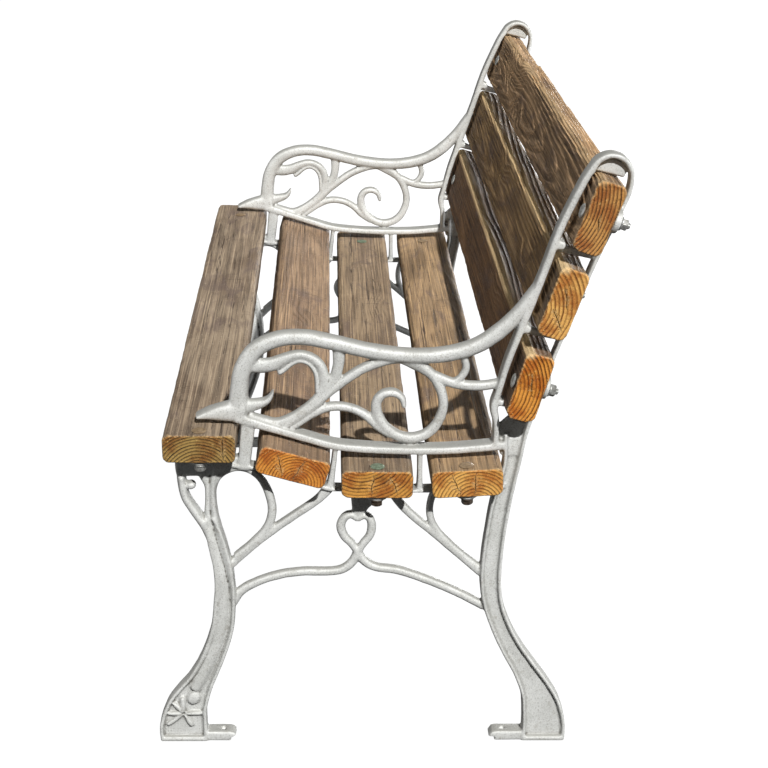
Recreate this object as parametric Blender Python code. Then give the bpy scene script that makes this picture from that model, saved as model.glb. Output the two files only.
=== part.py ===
"""Garden bench: two cast end frames carry four seat slats and three back slats.

Every slat is held at each end by one carriage bolt, a washer and a hex nut.
Metres, +Z up, X along the bench, the sitter faces -Y, origin on the floor
under the middle of the bench.
"""

import math

import bmesh
import bpy

MM = 0.001
GAP = 0.3                  # clearance between touching pieces, mm

# Driving dimensions, mm
BENCH_LENGTH = 1000.0      # the slats run the whole length
FRAME_FACE_X = 471.0       # outer face of each end frame
FRAME_DEPTH = 22.0         # casting's thickness along X
SIDE_SHIFT = -12.2         # moves the side view so that its middle is Y = 0
SLAT_WIDTH = 90.0
SLAT_THICKNESS = 38.0
SLAT_EDGE_RADIUS = 6.0
BOLT_OFFSET = 15.0         # bolt axis, outward (+X) of the casting's +X face
SHANK_RADIUS = 4.0
HEAD_RADIUS = 9.0
HEAD_HEIGHT = 3.2
WASHER_RADIUS = 8.5
WASHER_THICKNESS = 1.6
NUT_ACROSS_FLATS = 13.0
NUT_THICKNESS = 6.5
THREAD_BEYOND_NUT = 4.0
HOLE_RADIUS = 4.5
FASTENER_SIDES = 8
CHANNEL_DEPTH = 4.0        # recess down the outer face of each leg
CHANNEL_BORDER = 5.3

# Slat sections in the side view: name, centre Y, centre Z, lean of the wide
# face from level in degrees, and the thickness of the bolt ear behind it.
SLATS = [
    ("seat_slat_1_front", -210.5, 455.5, 0.0, 5.5),
    ("seat_slat_2", -96.0, 431.0, -16.0, 6.0),
    ("seat_slat_3", 9.0, 408.0, 0.0, 5.5),
    ("seat_slat_4_rear", 121.0, 410.5, 3.5, 5.5),
    ("back_slat_bottom", 191.0, 540.0, 75.0, 5.5),
    ("back_slat_middle", 223.5, 648.0, 72.5, 6.5),
    ("back_slat_top", 258.0, 753.5, 72.0, 8.2),
]

# These two slats are bolted behind the casting, toward its -X side, so that
# neither head nor nut shows from outside; the others are bolted in front of it.
BOLTED_INBOARD = ("seat_slat_2", "back_slat_middle")

# Bars of one casting in the side view. Each point is (Y, Z, width in the
# view), read as a smooth curve. The number after the name is the bar's depth
# along X; round bars have an oval section, flat ones a rectangle.
ROUND_BARS = [
    ("arm_rest", 20.0, 2, [
        (-163, 490, 26), (-162, 523, 23), (-157, 548, 22), (-142, 572, 21),
        (-116, 586, 20), (-85, 589, 19), (-50, 583, 19), (0, 571, 19),
        (50, 566, 19), (92, 569, 20), (127, 580, 20), (155, 600, 20),
        (177, 625, 18), (194, 652, 12)]),
    ("claw", 15.0, 1, [
        (-160, 497, 20), (-143, 500, 15), (-130, 504, 10), (-124, 510, 6), (-121, 517, 3)]),
    ("leaf_scroll", 13.0, 1, [
        (-156, 551, 13), (-138, 550, 16), (-118, 553, 14), (-102, 560, 13),
        (-85, 563, 13), (-68, 558, 13), (-56, 545, 13), (-53, 528, 13),
        (-60, 510, 12), (-76, 493, 11), (-96, 481, 11), (-114, 474, 10)]),
    ("leaf_tip", 11.0, 2, [(-118, 540, 4), (-108, 547, 8), (-95, 556, 8), (-82, 561, 6)]),
    ("arm_branch", 12.0, 2, [
        (-36, 575, 12), (-35, 558, 12), (-39, 541, 12), (-50, 524, 11), (-64, 508, 8)]),
    ("main_scroll", 14.0, 1, [
        (-106, 472, 10), (-88, 485, 11), (-68, 501, 11), (-45, 523, 12),
        (-15, 546, 13), (12, 558, 12), (38, 562, 12), (62, 552, 13),
        (80, 533, 13), (89, 510, 12), (88, 488, 12), (77, 467, 13),
        (58, 456, 13), (38, 457, 14), (20, 468, 14), (9, 485, 14),
        (7, 503, 13), (15, 515, 12), (28, 517, 11), (38, 510, 9), (41, 499, 5)]),
    ("lower_branch", 12.5, 1, [
        (-90, 473, 9), (-72, 487, 11), (-50, 496, 12), (-28, 496, 12),
        (-8, 487, 12), (8, 472, 12), (24, 460, 10)]),
    ("rear_branch", 12.0, 1, [
        (36, 561, 9), (55, 552, 11), (78, 540, 12), (105, 529, 13),
        (135, 527, 13), (164, 533, 12)]),
    ("small_loop", 10.5, 2, [(111, 569, 9), (116, 551, 10), (110, 538, 9), (98, 531, 7)]),
    ("front_strand_outer", 14.0, 1, [
        (-236, 414, 11), (-236, 398, 11), (-235, 380, 12), (-226, 362, 13),
        (-215, 340, 13), (-206, 318, 13), (-197, 290, 14)]),
    ("front_strand_middle", 11.0, 1, [
        (-219, 412, 7), (-213, 394, 7), (-205, 375, 7), (-200, 352, 8),
        (-196, 328, 10), (-189, 290, 12)]),
    ("front_strand_inner", 12.0, 1, [
        (-191, 412, 9), (-197, 386, 9), (-199, 365, 9), (-197, 345, 9),
        (-192, 320, 10), (-186, 292, 11), (-181, 262, 10)]),
    ("teardrop", 13.0, 1, [
        (-195, 362, 8), (-190, 388, 8), (-179, 405, 8), (-163, 412, 8),
        (-148, 407, 9), (-135, 393, 10), (-126, 373, 11), (-123, 350, 11),
        (-129, 328, 11), (-145, 307, 11), (-168, 286, 11)]),
    ("front_brace", 12.5, 1, [
        (-49, 391, 16), (-64, 369, 11), (-88, 350, 11), (-118, 327, 11),
        (-146, 303, 11), (-176, 274, 12)]),
    ("stretcher_front", 12.0, 1, [
        (-180, 207, 12), (-164, 233, 13), (-142, 247, 12), (-115, 257, 12),
        (-85, 262, 12), (-50, 262, 12), (-32, 268, 12), (-20, 281, 12), (-15, 297, 12)]),
    ("stretcher_rear", 11.5, 1, [
        (-10, 297, 12), (-3, 282, 12), (12, 271, 12), (38, 265, 12),
        (62, 257, 12), (95, 243, 12), (125, 228, 12), (162, 206, 12)]),
    ("heart_left", 12.3, 2, [
        (-14, 287, 12), (-23, 304, 11), (-33, 317, 11), (-35, 331, 11),
        (-29, 341, 11), (-20, 343, 10), (-12, 336, 9)]),
    ("heart_right", 11.8, 2, [
        (-11, 287, 12), (-2, 304, 11), (6, 317, 11), (8, 331, 11),
        (3, 341, 11), (-5, 343, 10), (-14, 336, 9)]),
    ("rear_brace", 12.2, 1, [
        (28, 379, 13), (40, 360, 12), (60, 340, 12), (85, 316, 12),
        (112, 290, 12), (140, 266, 12), (164, 246, 12)]),
    ("rear_curl", 11.2, 2, [
        (84, 384, 10), (79, 366, 10), (79, 345, 10), (87, 326, 10),
        (103, 307, 10), (125, 286, 10), (152, 264, 10)]),
]
FLAT_BARS = [
    ("beak", 21.0, 1, [(-217, 483.5, 5), (-200, 488, 16), (-180, 491, 26), (-157, 492, 31)]),
    ("seat_rail", 22.0, 1, [
        (-166, 484, 14), (-145, 477, 13), (-110, 466, 11), (-75, 455, 11),
        (-42, 446, 11), (0, 442, 11), (45, 440.5, 11), (90, 441, 11),
        (130, 444, 11), (172, 449, 13)]),
    ("divider_1", 19.0, 1, [(-151.5, 477, 17), (-157.5, 414, 15)]),
    ("divider_2", 18.0, 1, [(-43, 445, 6), (-49, 384, 9)]),
    ("divider_3", 18.5, 1, [(62.5, 443, 7), (64, 383, 7)]),
    ("front_gusset", 16.0, 1, [(-244, 420, 22), (-205, 419, 25), (-166, 419, 14)]),
    ("lower_rail", 20.0, 1, [
        (-172, 418, 6), (-150, 416, 6), (-128, 412, 6), (-100, 406.5, 6),
        (-75, 398.5, 6), (-54, 387, 6), (-36, 385.2, 5), (10, 384.5, 5),
        (65, 384, 5), (95, 385.5, 5), (135, 387.5, 5), (172, 391, 6)]),
    ("stem", 17.0, 1, [(-13, 340, 14), (-13, 356, 24), (-12, 372, 34), (-11, 387, 42)]),
    ("back_front_strip", 21.4, 1, [
        (156, 452, 7), (156, 478, 6), (153, 500, 10), (157, 522, 6),
        (167, 562, 6), (177, 594, 6), (193, 644, 6), (207, 688, 6),
        (219, 730, 6), (231, 761, 6), (245, 793, 6), (252, 806, 6)]),
    ("back_top_loop", 20.8, 2, [
        (249, 801, 6), (258, 815, 6), (273, 821, 6), (288, 815.5, 6),
        (297, 802, 6), (298.5, 787, 5.5), (295, 772, 5)]),
    ("back_rear_strip", 20.2, 1, [
        (297, 779, 5), (290, 758, 5), (266, 699, 5), (243, 632, 5),
        (222, 568, 5), (209, 521, 5), (195, 470, 6), (188, 445, 8)]),
    ("back_web_top", 7.0, 1, [(257, 810, 13), (291, 801, 14)]),
    ("back_web_upper", 9.0, 1, [(211, 708.5, 15), (238, 701.5, 12), (263, 694, 14)]),
    ("back_web_lower", 9.5, 1, [(177, 604, 15), (202, 597.5, 12), (231, 589, 14)]),
    ("back_web_base", 8.0, 1, [(171, 448, 34), (176, 466, 36), (183, 482, 24)]),
    ("front_leg", 22.6, 1, [
        (-244.5, 0, 65), (-244.5, 24, 65), (-240, 50, 57), (-232, 70, 47),
        (-220, 94, 36), (-208, 120, 31), (-198, 148, 29), (-190, 180, 28),
        (-186.5, 212, 27), (-186, 245, 27), (-188, 275, 28), (-193, 302, 26)]),
    ("rear_leg", 22.8, 1, [
        (247, 0, 60), (247, 25, 59), (241, 55, 53), (231, 84, 42),
        (214, 116, 33), (195, 148, 29), (180, 180, 27), (167, 215, 27),
        (161.5, 250, 28), (161.5, 288, 28), (164.5, 330, 27), (169, 371, 28)]),
    ("rear_leg_head", 21.8, 1, [
        (168, 366, 28), (178, 386, 18), (180, 408, 19), (179.5, 430, 23), (177, 456, 34)]),
]
CHANNELS = ["front_leg", "rear_leg"]
TOE_LUGS = [(-216.0, -177.0), (221.0, 176.0)]     # from the leg to the lug's end
TOE_HEIGHT = 15.5
TOE_HOLE_OFFSET = 13.0
TOE_HOLE_RADIUS = 3.5

# The ears that the bolts pass through stand outward of the casting.
EAR_WIDTH = 30.0
EAR_START = -14.0
EAR_END = 25.0
EAR_CHAMFER = 8.0


def clear_scene():
    for item in list(bpy.data.objects):
        bpy.data.objects.remove(item, do_unlink=True)


def material(name, colour, roughness, metallic):
    made = bpy.data.materials.new(name)
    made.use_nodes = True
    shader = made.node_tree.nodes["Principled BSDF"]
    shader.inputs["Base Color"].default_value = (*colour, 1.0)
    shader.inputs["Roughness"].default_value = roughness
    shader.inputs["Metallic"].default_value = metallic
    made.diffuse_color = (*colour, 1.0)
    return made


def add_object(name, mesh, finish=None, location=(0.0, 0.0, 0.0)):
    item = bpy.data.objects.new(name, mesh)
    item.location = location
    if finish:
        if not mesh.materials:
            mesh.materials.append(finish)
        item.data.shade_smooth()
        item.data.set_sharp_from_angle(angle=math.radians(35.0))
    bpy.context.scene.collection.objects.link(item)
    return item


def mesh_from_rings(name, rings):
    """Closed mesh through rings of points, capped at both ends."""
    shape = bmesh.new()
    loops = [[shape.verts.new([c * MM for c in point]) for point in ring] for ring in rings]
    sides = len(loops[0])
    for near, far in zip(loops, loops[1:]):
        for i in range(sides):
            j = (i + 1) % sides
            shape.faces.new((near[i], near[j], far[j], far[i]))
    shape.faces.new(loops[0])
    shape.faces.new(loops[-1])
    bmesh.ops.recalc_face_normals(shape, faces=shape.faces)
    mesh = bpy.data.meshes.new(name)
    shape.to_mesh(mesh)
    shape.free()
    return mesh


def smooth_path(points, steps):
    """Catmull-Rom curve through the points, steps spans between neighbours."""
    first = tuple(2 * a - b for a, b in zip(points[0], points[1]))
    last = tuple(2 * a - b for a, b in zip(points[-1], points[-2]))
    guide = [first, *points, last]
    path = []
    for i in range(1, len(guide) - 2):
        p0, p1, p2, p3 = guide[i - 1:i + 3]
        for k in range(steps):
            t = k / steps
            path.append(tuple(
                0.5 * (2 * b + (c - a) * t + (2 * a - 5 * b + 4 * c - d) * t * t
                       + (3 * b - a - 3 * c + d) * t ** 3)
                for a, b, c, d in zip(p0, p1, p2, p3)))
    path.append(tuple(points[-1]))
    return path


def bar_mesh(name, depth, path, section, middle_x, inset=0.0):
    """Sweep a section along a side-view path; section points are -1 to 1."""
    rings = []
    for i, (y, z, width) in enumerate(path):
        before = path[max(i - 1, 0)]
        after = path[min(i + 1, len(path) - 1)]
        run_y, run_z = after[0] - before[0], after[1] - before[1]
        run = math.hypot(run_y, run_z)
        side_y, side_z = -run_z / run, run_y / run
        half = width / 2 - inset
        rings.append([
            (middle_x + u * depth / 2, y + SIDE_SHIFT + v * half * side_y, z + v * half * side_z)
            for u, v in section])
    return mesh_from_rings(name, rings)


def oval_section(sides=6):
    turns = [2 * math.pi * i / sides for i in range(sides)]
    return [(math.cos(a), math.sin(a)) for a in turns]


FLAT_SECTION = [(-1, -1), (1, -1), (1, 1), (-1, 1)]


def slat_frame(centre_y, centre_z, lean):
    """Middle of a slat section, its wide direction and its outward normal."""
    angle = math.radians(lean)
    wide = (math.cos(angle), math.sin(angle))
    normal = (-math.sin(angle), math.cos(angle))
    return (centre_y + SIDE_SHIFT, centre_z), wide, normal


def on_slat(frame, x, across, out):
    """Point at x, at a distance across the slat and out along its normal."""
    (y, z), wide, normal = frame
    return (x, y + across * wide[0] + out * normal[0], z + across * wide[1] + out * normal[1])


def on_side(name, x):
    """Turns an X outward of the casting over to its -X side where a slat is bolted there."""
    return -FRAME_DEPTH - x if name in BOLTED_INBOARD else x


def ear_mesh(name, frame, thickness):
    half, cut = EAR_WIDTH / 2, EAR_CHAMFER
    outline = [(EAR_START, -half), (EAR_END - cut, -half), (EAR_END, -half + cut),
               (EAR_END, half - cut), (EAR_END - cut, half), (EAR_START, half)]
    outer = -SLAT_THICKNESS / 2 - GAP
    return mesh_from_rings("ear", [
        [on_slat(frame, on_side(name, x), across, out) for x, across in outline]
        for out in (outer, outer - thickness)])


def round_mesh(name, frame, x, radii_and_heights, sides=FASTENER_SIDES):
    """Turned shape on a bolt axis: (radius, distance out) from end to end."""
    turns = [2 * math.pi * i / sides for i in range(sides)]
    return mesh_from_rings(name, [
        [on_slat(frame, x + r * math.cos(a), r * math.sin(a), out) for a in turns]
        for r, out in radii_and_heights])


def collar_mesh(name, frame, x, outline, bore_radius, bottom, top):
    """Ring with a round bore: washer or nut, between two heights."""
    sides = len(outline)
    angles = [math.atan2(v, u) for u, v in outline]
    bore = [(bore_radius * math.cos(a), bore_radius * math.sin(a)) for a in angles]
    shape = bmesh.new()
    loops = []
    for ring, out in ((outline, bottom), (outline, top), (bore, top), (bore, bottom)):
        points = [on_slat(frame, x + u, v, out) for u, v in ring]
        loops.append([shape.verts.new([c * MM for c in point]) for point in points])
    for near, far in zip(loops, loops[1:] + loops[:1]):
        for i in range(sides):
            j = (i + 1) % sides
            shape.faces.new((near[i], near[j], far[j], far[i]))
    bmesh.ops.recalc_face_normals(shape, faces=shape.faces)
    mesh = bpy.data.meshes.new(name)
    shape.to_mesh(mesh)
    shape.free()
    return mesh


def combine(name, base, joined, cutters):
    """One mesh: the base with the joined meshes added and the cutters taken away."""
    body = add_object(name, base)
    helpers = []
    for operation, meshes in (("UNION", joined), ("DIFFERENCE", cutters)):
        for mesh in meshes:
            helper = add_object(mesh.name, mesh)
            helper.hide_render = True
            helper.display_type = "WIRE"
            helpers.append(helper)
            step = body.modifiers.new(operation.title(), "BOOLEAN")
            step.operation = operation
            step.solver = "EXACT"
            step.object = helper
    graph = bpy.context.evaluated_depsgraph_get()
    result = bpy.data.meshes.new_from_object(body.evaluated_get(graph))
    result.name = name
    for helper in helpers + [body]:
        bpy.data.objects.remove(helper, do_unlink=True)
    tidy = bmesh.new()
    tidy.from_mesh(result)
    bmesh.ops.remove_doubles(tidy, verts=tidy.verts, dist=0.02 * MM)
    bmesh.ops.dissolve_degenerate(tidy, edges=tidy.edges, dist=0.01 * MM)
    tidy.to_mesh(result)
    tidy.free()
    return result


def end_frame_mesh():
    """The casting, with its +X face at x = 0."""
    middle = -FRAME_DEPTH / 2
    solids = []
    cutters = []
    for name, depth, steps, points in FLAT_BARS:
        path = smooth_path(points, steps)
        solids.append(bar_mesh(name, depth, path, FLAT_SECTION, middle))
        if name in CHANNELS:
            inner = path[2:-1]
            recess_x = middle + depth / 2
            cutters.append(bar_mesh(name + "_channel", 2 * CHANNEL_DEPTH, inner,
                                    FLAT_SECTION, recess_x, CHANNEL_BORDER))
    for name, depth, steps, points in ROUND_BARS:
        path = smooth_path(points, steps)
        solids.append(bar_mesh(name, depth, path, oval_section(), middle))
    for start, end in TOE_LUGS:
        path = [(start, TOE_HEIGHT / 2, TOE_HEIGHT), (end, TOE_HEIGHT / 2, TOE_HEIGHT)]
        solids.append(bar_mesh("toe_lug", 21.0, path, FLAT_SECTION, middle))
        hole_y = end + math.copysign(TOE_HOLE_OFFSET, start - end)
        upright = ((hole_y + SIDE_SHIFT, 0.0), (1.0, 0.0), (0.0, 1.0))
        cutters.append(round_mesh("toe_hole", upright, middle,
                                  [(TOE_HOLE_RADIUS, -5.0), (TOE_HOLE_RADIUS, TOE_HEIGHT + 5.0)], 8))
    for name, y, z, lean, ear in SLATS:
        frame = slat_frame(y, z, lean)
        solids.append(ear_mesh(name, frame, ear))
        outer = -SLAT_THICKNESS / 2
        cutters.append(round_mesh("ear_hole", frame, on_side(name, BOLT_OFFSET),
                                  [(HOLE_RADIUS, outer + 2.0), (HOLE_RADIUS, outer - ear - 4.0)], 8))
    return combine("end_frame", solids[0], solids[1:], cutters)


def slat_mesh(name, frame, bolt_xs):
    """Planed board with rounded long edges and a hole for each bolt."""
    radius = SLAT_EDGE_RADIUS
    reach_u, reach_v = SLAT_WIDTH / 2 - radius, SLAT_THICKNESS / 2 - radius
    outline = []
    for corner, (u, v) in enumerate(((1, 1), (-1, 1), (-1, -1), (1, -1))):
        for step in range(4):
            angle = math.radians(90.0 * corner + 30.0 * step)
            outline.append((u * reach_u + radius * math.cos(angle),
                            v * reach_v + radius * math.sin(angle)))
    board = mesh_from_rings(name, [
        [on_slat(frame, x, u, v) for u, v in outline]
        for x in (-BENCH_LENGTH / 2, BENCH_LENGTH / 2)])
    reach = SLAT_THICKNESS / 2 + 5.0
    holes = [round_mesh("bolt_hole", frame, x, [(HOLE_RADIUS, -reach), (HOLE_RADIUS, reach)], 8)
             for x in bolt_xs]
    return combine(name, board, [], holes)


def add_fasteners(base, side, frame, x, ear, steel):
    """Carriage bolt with a washer and a nut behind the ear."""
    top = SLAT_THICKNESS / 2 + GAP
    seat = -SLAT_THICKNESS / 2 - GAP - ear - GAP
    washer_end = seat - WASHER_THICKNESS
    nut_start = washer_end - GAP
    nut_end = nut_start - NUT_THICKNESS
    tip = nut_end - THREAD_BEYOND_NUT
    bolt = round_mesh("bolt", frame, x, [
        (SHANK_RADIUS - 0.8, tip), (SHANK_RADIUS, tip + 0.8), (SHANK_RADIUS, top),
        (HEAD_RADIUS, top), (HEAD_RADIUS * 0.8, top + HEAD_HEIGHT * 0.6),
        (HEAD_RADIUS * 0.3, top + HEAD_HEIGHT)])
    add_object(f"bolt_{base}_{side}", bolt, steel)
    turns = [2 * math.pi * i / FASTENER_SIDES for i in range(FASTENER_SIDES)]
    rim = [(WASHER_RADIUS * math.cos(a), WASHER_RADIUS * math.sin(a)) for a in turns]
    washer = collar_mesh("washer", frame, x, rim, SHANK_RADIUS + 0.6, washer_end, seat)
    add_object(f"washer_{base}_{side}", washer, steel)
    corner = NUT_ACROSS_FLATS / math.sqrt(3.0)
    flat = NUT_ACROSS_FLATS / 2
    hexagon = []
    for i in range(6):
        for angle, reach in ((60.0 * i, corner), (60.0 * i + 30.0, flat)):
            spot = math.radians(angle)
            hexagon.append((reach * math.cos(spot), reach * math.sin(spot)))
    nut = collar_mesh("nut", frame, x, hexagon, SHANK_RADIUS + 0.5, nut_end, nut_start)
    add_object(f"nut_{base}_{side}", nut, steel)


def build():
    clear_scene()
    aluminium = material("cast_aluminium", (0.66, 0.66, 0.63), 0.42, 0.9)
    wood = material("weathered_wood", (0.36, 0.27, 0.19), 0.75, 0.0)
    steel = material("zinc_steel", (0.50, 0.51, 0.50), 0.38, 1.0)

    casting = end_frame_mesh()
    faces = {"right": FRAME_FACE_X, "left": FRAME_DEPTH - FRAME_FACE_X}
    for side, face_x in faces.items():
        add_object(f"end_frame_{side}", casting, aluminium, (face_x * MM, 0.0, 0.0))

    for name, y, z, lean, ear in SLATS:
        frame = slat_frame(y, z, lean)
        offset = on_side(name, BOLT_OFFSET)
        bolt_xs = {side: face_x + offset for side, face_x in faces.items()}
        add_object(name, slat_mesh(name, frame, list(bolt_xs.values())), wood)
        base = name.replace("_slat", "")
        for side, x in bolt_xs.items():
            add_fasteners(base, side, frame, x, ear, steel)


build()
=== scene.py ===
"""Garden bench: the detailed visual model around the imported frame.

Two sand-cast end frames, seven weathered slats and their bolts, washers and
nuts. The side view is laid out in millimetres, Y toward the back and Z up,
and a casting's outer (+X) face lies at x = 0 until it is placed.
"""

import math

import bmesh
import bpy
import numpy as np
from mathutils import Matrix, Vector, noise


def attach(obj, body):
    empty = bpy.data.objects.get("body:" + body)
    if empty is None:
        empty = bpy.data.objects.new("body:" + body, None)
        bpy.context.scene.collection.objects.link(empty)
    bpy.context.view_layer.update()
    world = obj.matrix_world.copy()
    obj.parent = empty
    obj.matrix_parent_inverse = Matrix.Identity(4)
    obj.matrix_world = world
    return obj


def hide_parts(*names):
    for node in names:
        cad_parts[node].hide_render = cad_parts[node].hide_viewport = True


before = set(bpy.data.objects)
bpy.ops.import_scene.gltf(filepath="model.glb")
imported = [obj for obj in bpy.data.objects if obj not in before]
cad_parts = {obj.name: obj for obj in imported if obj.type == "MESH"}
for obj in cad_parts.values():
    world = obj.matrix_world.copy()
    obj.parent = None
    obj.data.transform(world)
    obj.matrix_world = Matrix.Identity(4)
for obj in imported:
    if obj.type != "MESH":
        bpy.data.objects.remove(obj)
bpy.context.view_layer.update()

MM = 0.001
SIDE_SHIFT = -12.2
FRAME_DEPTH = 22.0
MIDDLE = -FRAME_DEPTH / 2
FACE_X = {"right": 471.0, "left": -449.0}
BOLT_OFFSET = 15.0

SLAT_LENGTH = 1000.0
SLAT_WIDTH = 90.0
SLAT_THICKNESS = 38.0
GAP = 0.3
WASHER_THICKNESS = 1.6
NUT_THICKNESS = 6.5
NUT_FLAT = 6.5

# name, centre Y, centre Z, lean in degrees, thickness of the bolt ear
SLATS = [
    ("seat_slat_1_front", -210.5, 455.5, 0.0, 5.5),
    ("seat_slat_2", -96.0, 431.0, -16.0, 6.0),
    ("seat_slat_3", 9.0, 408.0, 0.0, 5.5),
    ("seat_slat_4_rear", 121.0, 410.5, 3.5, 5.5),
    ("back_slat_bottom", 191.0, 540.0, 75.0, 5.5),
    ("back_slat_middle", 223.5, 648.0, 72.5, 6.5),
    ("back_slat_top", 258.0, 753.5, 72.0, 8.2),
]
BOLTED_INBOARD = ("seat_slat_2", "back_slat_middle")


def on_side(name, x):
    """X outward of the casting, or toward its -X side where the slat is bolted there."""
    return -FRAME_DEPTH - x if name in BOLTED_INBOARD else x


# ---- helpers

def link(mesh, name, finish=None, smooth=True):
    made = bpy.data.objects.new(name, mesh)
    bpy.context.scene.collection.objects.link(made)
    if finish:
        wear(mesh, finish)
    if smooth:
        mesh.shade_smooth()
    return made


def mesh_of(name, verts, faces):
    mesh = bpy.data.meshes.new(name)
    mesh.from_pydata([tuple(v) for v in verts], [], [tuple(f) for f in faces])
    mesh.update()
    return mesh


def face_outward(mesh):
    fix = bmesh.new()
    fix.from_mesh(mesh)
    bmesh.ops.recalc_face_normals(fix, faces=fix.faces)
    fix.to_mesh(mesh)
    fix.free()


def wear(mesh, finish):
    """Give a mesh its one material."""
    mesh.materials.clear()
    mesh.materials.append(finish)


def circle(radius, sides):
    """Points of a circle about the origin."""
    turns = [2 * math.pi * i / sides for i in range(sides)]
    return [(radius * math.cos(a), radius * math.sin(a)) for a in turns]


def band(a, b):
    """Quads between two closed loops of vertex numbers."""
    return [(a[i], a[j], b[j], b[i]) for i, j in enumerate([*range(1, len(a)), 0])]


def evaluated(obj, name):
    """The mesh of obj with its modifiers applied; obj is removed."""
    graph = bpy.context.evaluated_depsgraph_get()
    mesh = bpy.data.meshes.new_from_object(obj.evaluated_get(graph))
    mesh.name = name
    bpy.data.objects.remove(obj, do_unlink=True)
    return mesh


def subtract(solid, cutter):
    cut = solid.modifiers.new("Cut", "BOOLEAN")
    cut.operation = "DIFFERENCE"
    cut.solver = "EXACT"
    cut.object = cutter


def drop_slivers(mesh):
    """Close the hair-thin faces that a Boolean cut leaves along its rims."""
    fix = bmesh.new()
    fix.from_mesh(mesh)
    reach = 0.02 * MM
    bmesh.ops.triangulate(fix, faces=fix.faces)
    bmesh.ops.remove_doubles(fix, verts=fix.verts, dist=reach)
    bmesh.ops.dissolve_degenerate(fix, dist=reach, edges=fix.edges)
    seen = {}
    for face in fix.faces:
        seen.setdefault(frozenset(face.verts), []).append(face)
    folded = [f for twins in seen.values() if len(twins) > 1 for f in twins]
    bmesh.ops.delete(fix, geom=folded, context="FACES")
    fix.to_mesh(mesh)
    fix.free()


def smooth_path(points, step=3.0):
    """Catmull-Rom curve through (Y, Z, width, ...) points at about one spacing."""
    pts = [np.array(p, float) for p in points]
    guide = [2 * pts[0] - pts[1], *pts, 2 * pts[-1] - pts[-2]]
    path = []
    for i in range(1, len(guide) - 2):
        p0, p1, p2, p3 = guide[i - 1:i + 3]
        count = max(2, int(math.hypot(*(p2 - p1)[:2]) / step))
        for k in range(count):
            t = k / count
            path.append(0.5 * (2 * p1 + (p2 - p0) * t + (2 * p0 - 5 * p1 + 4 * p2 - p3) * t * t
                               + (3 * p1 - p0 - 3 * p2 + p3) * t ** 3))
    path.append(pts[-1])
    return np.array(path)


def normals_of(path):
    """Unit normal of a side-view path, to the left of its direction."""
    run = np.gradient(path[:, :2], axis=0)
    run /= np.linalg.norm(run, axis=1)[:, None]
    return run, np.stack([-run[:, 1], run[:, 0]], axis=1)


def offset_path(path, amount, width):
    """Path set off sideways by amount times the half width, less the new half width."""
    _, normal = normals_of(path)
    moved = path.copy()
    reach = amount * (path[:, 2] / 2 - width / 2)
    moved[:, :2] += normal * reach[:, None]
    moved[:, 2] = width
    return moved


class Bulk:
    """Closed shapes gathered into one mesh, later melted together."""

    def __init__(self):
        self.verts, self.faces = [], []

    def rings(self, rings):
        loops = []
        for ring in rings:
            loops.append(range(len(self.verts), len(self.verts) + len(ring)))
            self.verts.extend(ring)
        for a, b in zip(loops, loops[1:]):
            self.faces += band(a, b)
        self.faces += [tuple(reversed(loops[0])), tuple(loops[-1])]

    def bar(self, path, depth, middle=MIDDLE, power=2.0, ends=(0.0, 0.0), sides=20):
        """Sweep a rounded section; power 2 is oval, 5 nearly rectangular."""
        path = np.asarray(path, float)
        run, normal = normals_of(path)
        turns = 2 * math.pi * np.arange(sides) / sides
        cos, sin = np.cos(turns), np.sin(turns)
        u = np.sign(cos) * np.abs(cos) ** (2 / power)
        v = np.sign(sin) * np.abs(sin) ** (2 / power)
        stations = [(*path[i, :3], normal[i], 1.0) for i in range(len(path))]
        for end, index, way in ((ends[0], 0, -1.0), (ends[1], -1, 1.0)):
            if end:
                y, z, w = path[index][:3]
                caps = []
                for t in (0.35, 0.62, 0.82, 0.95):
                    shift = way * end * w / 2 * t
                    caps.append((y + run[index][0] * shift, z + run[index][1] * shift, w,
                                 normal[index], math.sqrt(1 - t * t)))
                stations = caps[::-1] + stations if way < 0 else stations + caps
        rings = []
        for y, z, w, side, scale in stations:
            half_x, half_w = depth / 2 * scale, w / 2 * scale
            rings.append([(middle + half_x * a, y + side[0] * half_w * b, z + side[1] * half_w * b)
                          for a, b in zip(u, v)])
        self.rings(rings)

    def blob(self, centre, radii, turn=0.0, sides=14):
        """Ellipsoid; turn rolls it in the side view, in degrees."""
        cx, cy, cz = centre
        c, s = math.cos(math.radians(turn)), math.sin(math.radians(turn))
        rings = []
        for k in range(1, 9):
            lat = math.pi * k / 9 - math.pi / 2
            ring = []
            for i in range(sides):
                a = 2 * math.pi * i / sides
                y = radii[1] * math.cos(lat) * math.cos(a)
                z = radii[2] * math.cos(lat) * math.sin(a)
                ring.append((cx + radii[0] * math.sin(lat), cy + y * c - z * s, cz + y * s + z * c))
            rings.append(ring)
        self.rings(rings)

    def mesh(self, name):
        mesh = mesh_of(name, np.array(self.verts) * MM, self.faces)
        face_outward(mesh)
        return mesh


def on_slat(y, z, lean, x, across, out):
    """A point x along, across and out of a slat whose centre is at (y, z)."""
    cos, sin = math.cos(math.radians(lean)), math.sin(math.radians(lean))
    return x, y + across * cos - out * sin, z + across * sin + out * cos


def slat_matrix(y, z, lean, x=0.0, out=0.0):
    """Places a piece whose local X, Y, Z are along, across and out of a slat."""
    place = Matrix.Translation(Vector(on_slat(y + SIDE_SHIFT, z, lean, x, 0.0, out)) * MM)
    return place @ Matrix.Rotation(math.radians(lean), 4, "X")


# ---- castings

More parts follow.
